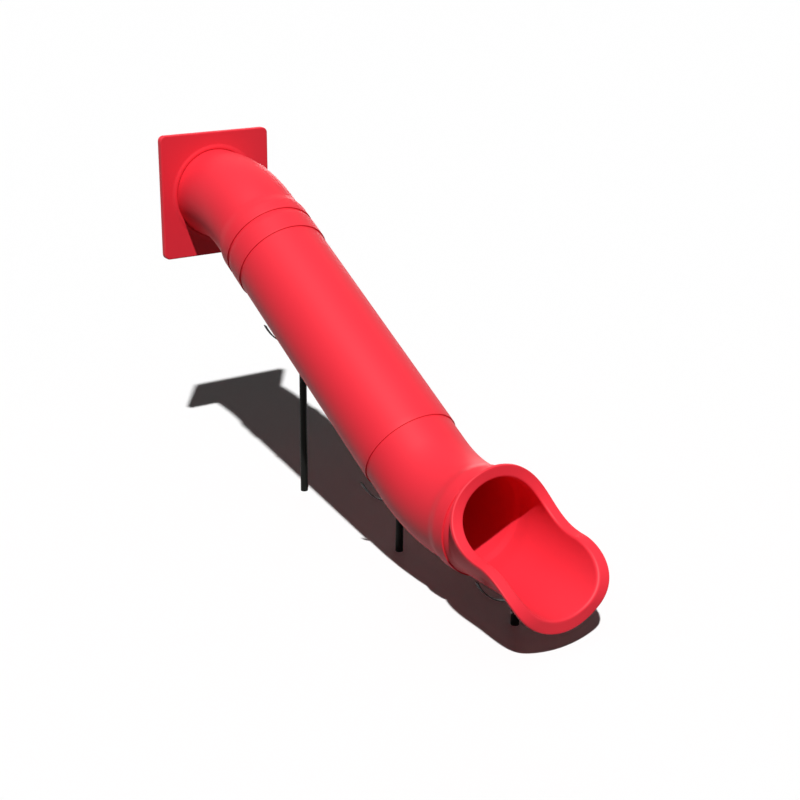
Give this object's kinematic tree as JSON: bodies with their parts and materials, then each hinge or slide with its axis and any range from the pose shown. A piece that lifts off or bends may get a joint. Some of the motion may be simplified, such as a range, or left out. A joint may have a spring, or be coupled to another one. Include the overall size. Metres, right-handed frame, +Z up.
{
  "type": "tube slide",
  "caption": "Closed plastic tube slide with a square entrance panel, straight sloping run, and an open exit chute with a turned-out rim, carried on in-line steel posts.",
  "frame": {"origin": "middle of the entrance panel's back face, the face that bolts to the deck", "axes": "+X the way the rider goes, away from the deck; +Z up; Y across, the object is symmetric about Y = 0"},
  "size_m": [4.8797, 1.0286, 2.8308],
  "materials": {
    "plastic": "moulded polyethylene, satin gloss",
    "zinc": "zinc plated",
    "stainless": "stainless steel",
    "post_paint": "powder coated, near black",
    "band_paint": "powder coated, near black",
    "galvanised": "hot-dip galvanised, dull",
    "rubber": "matt rubber"
  },
  "bodies": {
    "root": {"entrance_panel": "plastic", "panel_inserts": "zinc", "entry_elbow": "plastic", "spacer_tube": "plastic", "main_tube": "plastic", "exit_elbow": "plastic", "exit_chute": "plastic", "joint_screws": "stainless", "post_upper": "post_paint", "post_middle": "post_paint", "post_lower": "post_paint", "stub_upper": "galvanised", "stub_middle": "galvanised", "stub_lower": "galvanised", "band_upper": "band_paint", "band_middle": "band_paint", "band_lower": "band_paint", "post_bolts": "stainless", "post_nuts": "stainless", "riser_middle": "galvanised", "riser_lower": "galvanised", "saddle_middle": "galvanised", "saddle_lower": "galvanised", "pad_upper": "rubber", "pad_middle": "rubber", "pad_lower": "rubber", "saddle_bolts": "stainless", "saddle_nuts": "stainless"}
  },
  "joints": []
}
